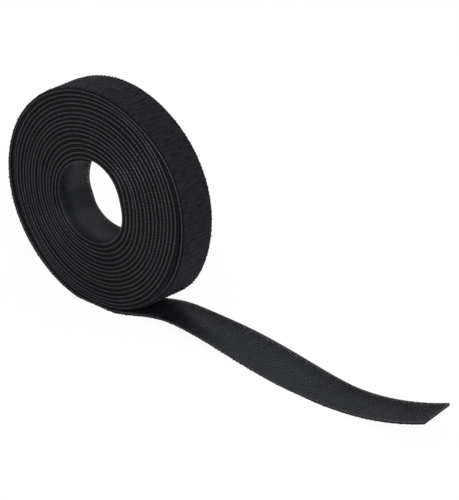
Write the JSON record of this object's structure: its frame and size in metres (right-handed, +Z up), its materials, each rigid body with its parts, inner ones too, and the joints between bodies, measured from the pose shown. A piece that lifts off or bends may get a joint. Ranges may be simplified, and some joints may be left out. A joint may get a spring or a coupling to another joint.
{
  "type": "hook and loop tape roll",
  "caption": "Back-to-back hook and loop tape wound into a coreless roll that stands on its rim, with a free end that runs out along the ground and lifts.",
  "frame": {"origin": "middle of the flat that the roll stands on", "axes": "+X along the free end, away from the roll; +Y along the roll's winding axis, across the tape; +Z up"},
  "size_m": [0.1808, 0.0161, 0.0811],
  "materials": {
    "hook_strip": "moulded black nylon base that carries rows of small hooks",
    "bond_film": "thin adhesive film, dull, seen only as a lighter line on the cut edges",
    "loop_fabric": "black nylon knit with a brushed loop pile"
  },
  "bodies": {
    "roll": {"hook_strip_roll": "hook_strip", "bond_film_roll": "bond_film", "loop_fabric_roll": "loop_fabric"},
    "free_end": {"hook_strip_free_end": "hook_strip", "bond_film_free_end": "bond_film", "loop_fabric_free_end": "loop_fabric"}
  },
  "joints": [
    {"name": "free_end_lift", "type": "hinge", "parent": "roll", "child": "free_end", "pos_m": [0.031, 0, 0.00634], "axis": [0, -1, 0], "range_deg": [0, 65]}
  ]
}
